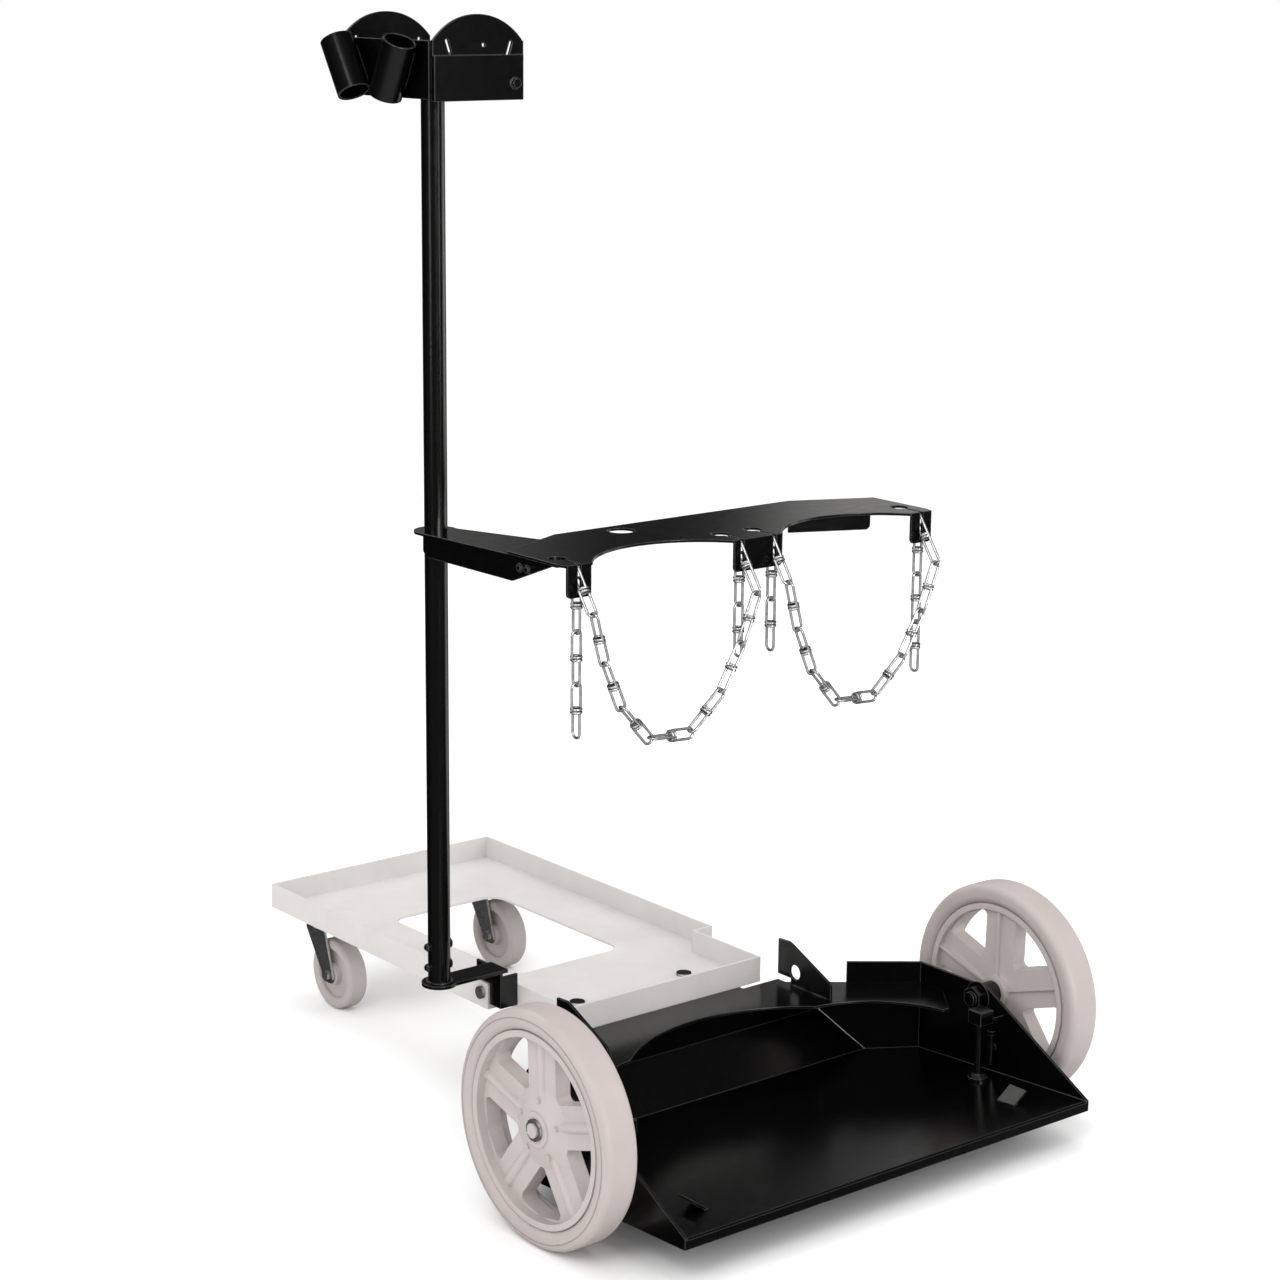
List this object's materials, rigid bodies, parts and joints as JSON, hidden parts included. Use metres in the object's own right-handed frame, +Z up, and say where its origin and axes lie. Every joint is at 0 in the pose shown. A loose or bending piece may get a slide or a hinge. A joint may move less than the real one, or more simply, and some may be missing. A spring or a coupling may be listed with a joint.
{
  "type": "torch cart",
  "caption": "Wheeled gas cylinder and torch cart with low cylinder tray, chained upper cylinder bracket, tall side post with hose saddle and tilted torch tubes.",
  "frame": {"origin": "Middle of the cart's bounding box in plan, on the ground under its wheels.", "axes": "+Z is up. +Y points from the cylinder tray to the caster end of the chassis. +X points to the side away from the post, along the wheel axle."},
  "size_m": [0.7156, 0.973, 1.238],
  "materials": {
    "black_powder_coat": "gloss",
    "zinc_steel": "satin",
    "tyre_rubber": "satin",
    "hub_plastic": "satin",
    "caster_rubber": "satin",
    "chassis_paint": "satin"
  },
  "bodies": {
    "cart": {"cylinder_tray": "black_powder_coat", "lower_shelf": "black_powder_coat", "shelf_ear_left": "black_powder_coat", "shelf_ear_right": "black_powder_coat", "axle_strut_left": "black_powder_coat", "axle_strut_right": "black_powder_coat", "wall_latch_pins": "black_powder_coat", "shelf_bolts": "zinc_steel", "stub_axle_left": "black_powder_coat", "stub_axle_right": "black_powder_coat", "axle_washers": "black_powder_coat", "axle_spacers": "black_powder_coat", "push_nuts": "zinc_steel", "chassis_pan": "chassis_paint", "chassis_crossmember": "chassis_paint", "caster_plate_left": "zinc_steel", "caster_plate_right": "zinc_steel", "foot_bracket": "black_powder_coat", "foot_bracket_bolt": "zinc_steel", "post_spigot": "black_powder_coat", "post_cross_bolts": "black_powder_coat", "post": "black_powder_coat", "post_arm": "black_powder_coat", "arm_screws": "black_powder_coat", "upper_bracket": "black_powder_coat", "chain_hook_links": "zinc_steel", "half_moon_front": "black_powder_coat", "half_moon_rear": "black_powder_coat", "cable_saddle": "black_powder_coat", "saddle_screws": "black_powder_coat", "torch_tube_front": "black_powder_coat", "torch_tube_rear": "black_powder_coat"},
    "wheel_left": {"tyre_left": "tyre_rubber", "wheel_hub_left": "hub_plastic"},
    "wheel_right": {"tyre_right": "tyre_rubber", "wheel_hub_right": "hub_plastic"},
    "caster_left": {"caster_fork_left": "zinc_steel", "caster_axle_left": "zinc_steel"},
    "caster_right": {"caster_fork_right": "zinc_steel", "caster_axle_right": "zinc_steel"},
    "caster_roll_left": {"caster_wheel_left": "caster_rubber"},
    "caster_roll_right": {"caster_wheel_right": "caster_rubber"},
    "loop_left": {"chain_loop_left": "zinc_steel"},
    "loop_right": {"chain_loop_right": "zinc_steel"},
    "tail_outer_left": {"chain_tail_outer_left": "zinc_steel"},
    "tail_inner_left": {"chain_tail_inner_left": "zinc_steel"},
    "tail_inner_right": {"chain_tail_inner_right": "zinc_steel"},
    "tail_outer_right": {"chain_tail_outer_right": "zinc_steel"}
  },
  "joints": [
    {"name": "wheel_spin_left", "type": "hinge", "parent": "cart", "child": "wheel_left", "pos_m": [-0.3363, -0.3135, 0.127], "axis": [1, 0, 0], "continuous": true},
    {"name": "wheel_spin_right", "type": "hinge", "parent": "cart", "child": "wheel_right", "pos_m": [0.3363, -0.3135, 0.127], "axis": [1, 0, 0], "continuous": true},
    {"name": "caster_swivel_left", "type": "hinge", "parent": "cart", "child": "caster_left", "pos_m": [-0.125, 0.4265, 0.1], "axis": [0, 0, 1], "continuous": true},
    {"name": "caster_spin_left", "type": "hinge", "parent": "caster_left", "child": "caster_roll_left", "pos_m": [-0.125, 0.3985, 0.045], "axis": [1, 0, 0], "continuous": true},
    {"name": "caster_swivel_right", "type": "hinge", "parent": "cart", "child": "caster_right", "pos_m": [0.125, 0.4265, 0.1], "axis": [0, 0, 1], "continuous": true},
    {"name": "caster_spin_right", "type": "hinge", "parent": "caster_right", "child": "caster_roll_right", "pos_m": [0.125, 0.3985, 0.045], "axis": [1, 0, 0], "continuous": true},
    {"name": "chain_swing_left", "type": "hinge", "parent": "cart", "child": "loop_left", "pos_m": [-0.133, -0.26789, 0.64225], "axis": [1, 0, 0], "range_deg": [-45, 12]},
    {"name": "chain_swing_right", "type": "hinge", "parent": "cart", "child": "loop_right", "pos_m": [0.133, -0.26789, 0.64225], "axis": [1, 0, 0], "range_deg": [-45, 12]},
    {"name": "tail_swing_outer_left", "type": "hinge", "parent": "cart", "child": "tail_outer_left", "pos_m": [-0.243, -0.2397, 0.67833], "axis": [1, 0, 0], "range_deg": [0, 40]},
    {"name": "tail_swing_inner_left", "type": "hinge", "parent": "cart", "child": "tail_inner_left", "pos_m": [-0.023, -0.2397, 0.67833], "axis": [1, 0, 0], "range_deg": [0, 40]},
    {"name": "tail_swing_inner_right", "type": "hinge", "parent": "cart", "child": "tail_inner_right", "pos_m": [0.023, -0.2397, 0.67833], "axis": [1, 0, 0], "range_deg": [0, 40]},
    {"name": "tail_swing_outer_right", "type": "hinge", "parent": "cart", "child": "tail_outer_right", "pos_m": [0.243, -0.2397, 0.67833], "axis": [1, 0, 0], "range_deg": [0, 40]}
  ]
}
